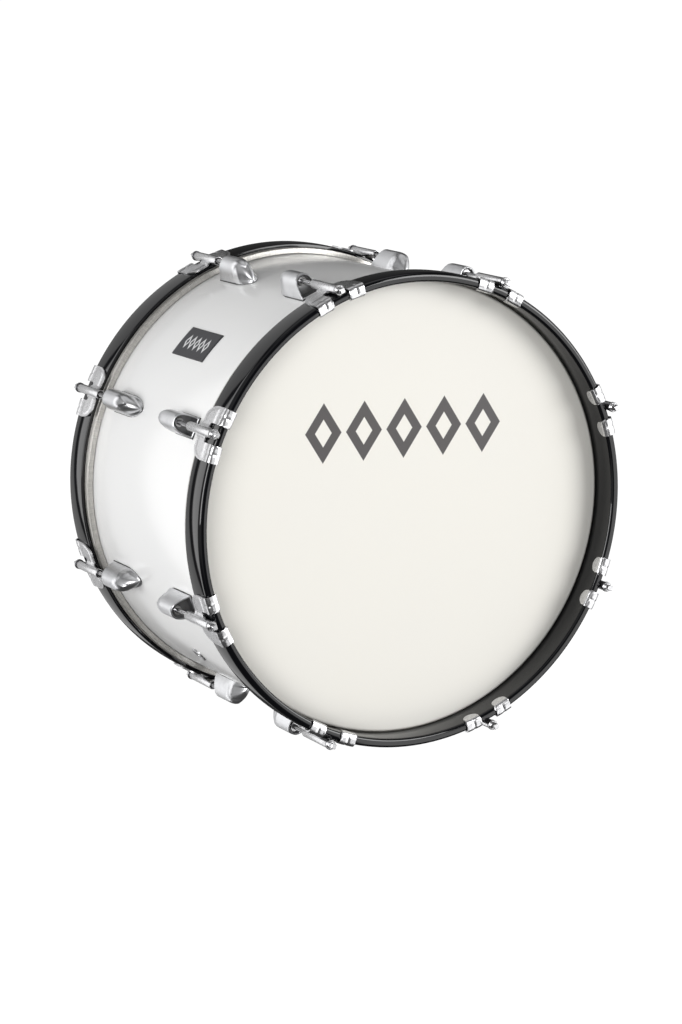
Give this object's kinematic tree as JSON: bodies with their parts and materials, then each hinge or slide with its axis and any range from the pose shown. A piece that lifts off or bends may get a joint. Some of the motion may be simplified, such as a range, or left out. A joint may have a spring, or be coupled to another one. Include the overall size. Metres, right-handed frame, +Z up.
{
  "type": "bass drum",
  "caption": "Marching bass drum: covered shell, two tuned heads, black hoops held by chrome hook claws, tension rods and bullet lugs.",
  "frame": {"origin": "on the floor under the middle of the drum, midway between the two hoops", "axes": "+Y along the drum's axis from the front head to the rear head, +Z up, +X to the right seen from the front"},
  "size_m": [0.58, 0.401, 0.58],
  "materials": {
    "ply": "clear lacquered birch and maple ply",
    "wrap": "glossy white cellulose cover",
    "hoop_black": "gloss black lacquer over the hoop",
    "flesh_aluminium": "lightly brushed",
    "film": "smooth cream polyester film",
    "lug_chrome": "chrome on a zinc casting",
    "gasket": "thin grey rubber",
    "nut_steel": "zinc plated, turned",
    "nylon": "natural nylon",
    "screw_steel": "zinc plated",
    "rod_washer": "black nylon",
    "badge_black": "gloss black plate, blank",
    "vent_chrome": "chrome on brass",
    "claw_chrome": "chrome on pressed steel",
    "rod_steel": "chrome on steel"
  },
  "bodies": {
    "shell": {"shell": "ply", "shell_wrap": "wrap", "front_flesh_hoop": "flesh_aluminium", "rear_flesh_hoop": "flesh_aluminium", "front_head": "film", "rear_head": "film", "front_lugs": "lug_chrome", "rear_lugs": "lug_chrome", "lug_gaskets": "gasket", "swivel_nuts": "nut_steel", "nut_keepers": "nylon", "lug_screws": "screw_steel", "lug_screw_washers": "screw_steel", "badge": "badge_black", "vent_grommet": "vent_chrome", "vent_nut": "vent_chrome"},
    "front_hoop_set": {"front_hoop": "hoop_black", "front_claw_1": "claw_chrome", "front_claw_2": "claw_chrome", "front_claw_3": "claw_chrome", "front_claw_4": "claw_chrome", "front_claw_5": "claw_chrome", "front_claw_6": "claw_chrome", "front_claw_7": "claw_chrome", "front_claw_8": "claw_chrome", "front_rod_washers": "rod_washer"},
    "front_rod_1_body": {"front_rod_1": "rod_steel"},
    "front_rod_2_body": {"front_rod_2": "rod_steel"},
    "front_rod_3_body": {"front_rod_3": "rod_steel"},
    "front_rod_4_body": {"front_rod_4": "rod_steel"},
    "front_rod_5_body": {"front_rod_5": "rod_steel"},
    "front_rod_6_body": {"front_rod_6": "rod_steel"},
    "front_rod_7_body": {"front_rod_7": "rod_steel"},
    "front_rod_8_body": {"front_rod_8": "rod_steel"},
    "rear_hoop_set": {"rear_hoop": "hoop_black", "rear_claw_1": "claw_chrome", "rear_claw_2": "claw_chrome", "rear_claw_3": "claw_chrome", "rear_claw_4": "claw_chrome", "rear_claw_5": "claw_chrome", "rear_claw_6": "claw_chrome", "rear_claw_7": "claw_chrome", "rear_claw_8": "claw_chrome", "rear_rod_washers": "rod_washer"},
    "rear_rod_1_body": {"rear_rod_1": "rod_steel"},
    "rear_rod_2_body": {"rear_rod_2": "rod_steel"},
    "rear_rod_3_body": {"rear_rod_3": "rod_steel"},
    "rear_rod_4_body": {"rear_rod_4": "rod_steel"},
    "rear_rod_5_body": {"rear_rod_5": "rod_steel"},
    "rear_rod_6_body": {"rear_rod_6": "rod_steel"},
    "rear_rod_7_body": {"rear_rod_7": "rod_steel"},
    "rear_rod_8_body": {"rear_rod_8": "rod_steel"}
  },
  "joints": [
    {"name": "front_hoop_slide", "type": "slide", "parent": "shell", "child": "front_hoop_set", "axis": [0, -1, 0], "range_m": [0, 0.008]},
    {"name": "front_rod_1_turn", "type": "hinge", "parent": "front_hoop_set", "child": "front_rod_1_body", "pos_m": [0.11327, -0.1878, 0.56347], "axis": [0, -1, 0], "range_deg": [0, 2880]},
    {"name": "front_rod_2_turn", "type": "hinge", "parent": "front_hoop_set", "child": "front_rod_2_body", "pos_m": [0.27347, -0.1878, 0.40327], "axis": [0, -1, 0], "range_deg": [0, 2880]},
    {"name": "front_rod_3_turn", "type": "hinge", "parent": "front_hoop_set", "child": "front_rod_3_body", "pos_m": [0.27347, -0.1878, 0.17673], "axis": [0, -1, 0], "range_deg": [0, 2880]},
    {"name": "front_rod_4_turn", "type": "hinge", "parent": "front_hoop_set", "child": "front_rod_4_body", "pos_m": [0.11327, -0.1878, 0.01653], "axis": [0, -1, 0], "range_deg": [0, 2880]},
    {"name": "front_rod_5_turn", "type": "hinge", "parent": "front_hoop_set", "child": "front_rod_5_body", "pos_m": [-0.11327, -0.1878, 0.01653], "axis": [0, -1, 0], "range_deg": [0, 2880]},
    {"name": "front_rod_6_turn", "type": "hinge", "parent": "front_hoop_set", "child": "front_rod_6_body", "pos_m": [-0.27347, -0.1878, 0.17673], "axis": [0, -1, 0], "range_deg": [0, 2880]},
    {"name": "front_rod_7_turn", "type": "hinge", "parent": "front_hoop_set", "child": "front_rod_7_body", "pos_m": [-0.27347, -0.1878, 0.40327], "axis": [0, -1, 0], "range_deg": [0, 2880]},
    {"name": "front_rod_8_turn", "type": "hinge", "parent": "front_hoop_set", "child": "front_rod_8_body", "pos_m": [-0.11327, -0.1878, 0.56347], "axis": [0, -1, 0], "range_deg": [0, 2880]},
    {"name": "rear_hoop_slide", "type": "slide", "parent": "shell", "child": "rear_hoop_set", "axis": [0, 1, 0], "range_m": [0, 0.008]},
    {"name": "rear_rod_1_turn", "type": "hinge", "parent": "rear_hoop_set", "child": "rear_rod_1_body", "pos_m": [0.11327, 0.1878, 0.56347], "axis": [0, 1, 0], "range_deg": [0, 2880]},
    {"name": "rear_rod_2_turn", "type": "hinge", "parent": "rear_hoop_set", "child": "rear_rod_2_body", "pos_m": [0.27347, 0.1878, 0.40327], "axis": [0, 1, 0], "range_deg": [0, 2880]},
    {"name": "rear_rod_3_turn", "type": "hinge", "parent": "rear_hoop_set", "child": "rear_rod_3_body", "pos_m": [0.27347, 0.1878, 0.17673], "axis": [0, 1, 0], "range_deg": [0, 2880]},
    {"name": "rear_rod_4_turn", "type": "hinge", "parent": "rear_hoop_set", "child": "rear_rod_4_body", "pos_m": [0.11327, 0.1878, 0.01653], "axis": [0, 1, 0], "range_deg": [0, 2880]},
    {"name": "rear_rod_5_turn", "type": "hinge", "parent": "rear_hoop_set", "child": "rear_rod_5_body", "pos_m": [-0.11327, 0.1878, 0.01653], "axis": [0, 1, 0], "range_deg": [0, 2880]},
    {"name": "rear_rod_6_turn", "type": "hinge", "parent": "rear_hoop_set", "child": "rear_rod_6_body", "pos_m": [-0.27347, 0.1878, 0.17673], "axis": [0, 1, 0], "range_deg": [0, 2880]},
    {"name": "rear_rod_7_turn", "type": "hinge", "parent": "rear_hoop_set", "child": "rear_rod_7_body", "pos_m": [-0.27347, 0.1878, 0.40327], "axis": [0, 1, 0], "range_deg": [0, 2880]},
    {"name": "rear_rod_8_turn", "type": "hinge", "parent": "rear_hoop_set", "child": "rear_rod_8_body", "pos_m": [-0.11327, 0.1878, 0.56347], "axis": [0, 1, 0], "range_deg": [0, 2880]}
  ],
  "couplings": [
    {"joint": "front_rod_1_turn", "follows": "front_hoop_slide", "rad_per_m": 6283.2},
    {"joint": "front_rod_2_turn", "follows": "front_hoop_slide", "rad_per_m": 6283.2},
    {"joint": "front_rod_3_turn", "follows": "front_hoop_slide", "rad_per_m": 6283.2},
    {"joint": "front_rod_4_turn", "follows": "front_hoop_slide", "rad_per_m": 6283.2},
    {"joint": "front_rod_5_turn", "follows": "front_hoop_slide", "rad_per_m": 6283.2},
    {"joint": "front_rod_6_turn", "follows": "front_hoop_slide", "rad_per_m": 6283.2},
    {"joint": "front_rod_7_turn", "follows": "front_hoop_slide", "rad_per_m": 6283.2},
    {"joint": "front_rod_8_turn", "follows": "front_hoop_slide", "rad_per_m": 6283.2},
    {"joint": "rear_rod_1_turn", "follows": "rear_hoop_slide", "rad_per_m": 6283.2},
    {"joint": "rear_rod_2_turn", "follows": "rear_hoop_slide", "rad_per_m": 6283.2},
    {"joint": "rear_rod_3_turn", "follows": "rear_hoop_slide", "rad_per_m": 6283.2},
    {"joint": "rear_rod_4_turn", "follows": "rear_hoop_slide", "rad_per_m": 6283.2},
    {"joint": "rear_rod_5_turn", "follows": "rear_hoop_slide", "rad_per_m": 6283.2},
    {"joint": "rear_rod_6_turn", "follows": "rear_hoop_slide", "rad_per_m": 6283.2},
    {"joint": "rear_rod_7_turn", "follows": "rear_hoop_slide", "rad_per_m": 6283.2},
    {"joint": "rear_rod_8_turn", "follows": "rear_hoop_slide", "rad_per_m": 6283.2}
  ]
}
